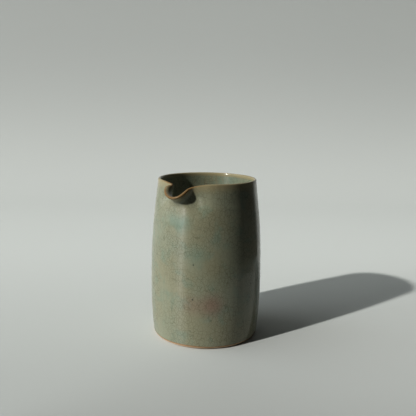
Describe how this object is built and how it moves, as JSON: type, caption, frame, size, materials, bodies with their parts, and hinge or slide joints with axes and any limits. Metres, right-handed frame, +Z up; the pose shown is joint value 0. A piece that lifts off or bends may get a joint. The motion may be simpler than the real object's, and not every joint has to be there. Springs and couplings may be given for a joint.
{
  "type": "ceramic pitcher",
  "caption": "Slim, gently barrelled stoneware pitcher with a pinched pouring lip, an open mouth and no handle, glazed inside and out above a bare clay foot.",
  "frame": {"origin": "centre of the foot ring's underside, on the pot's axis", "axes": "+Z up along the pot's axis, -Y the way the pouring lip points, +X to the right of someone facing the lip"},
  "size_m": [0.1018, 0.1062, 0.145],
  "materials": {
    "bare_stoneware": "matte",
    "celadon_glaze": "satin",
    "inner_celadon_glaze": "satin",
    "brown_rim_glaze": "satin"
  },
  "bodies": {
    "root": {"clay_body": "bare_stoneware", "outer_glaze": "celadon_glaze", "inner_glaze": "inner_celadon_glaze", "rim_glaze": "brown_rim_glaze"}
  },
  "joints": []
}
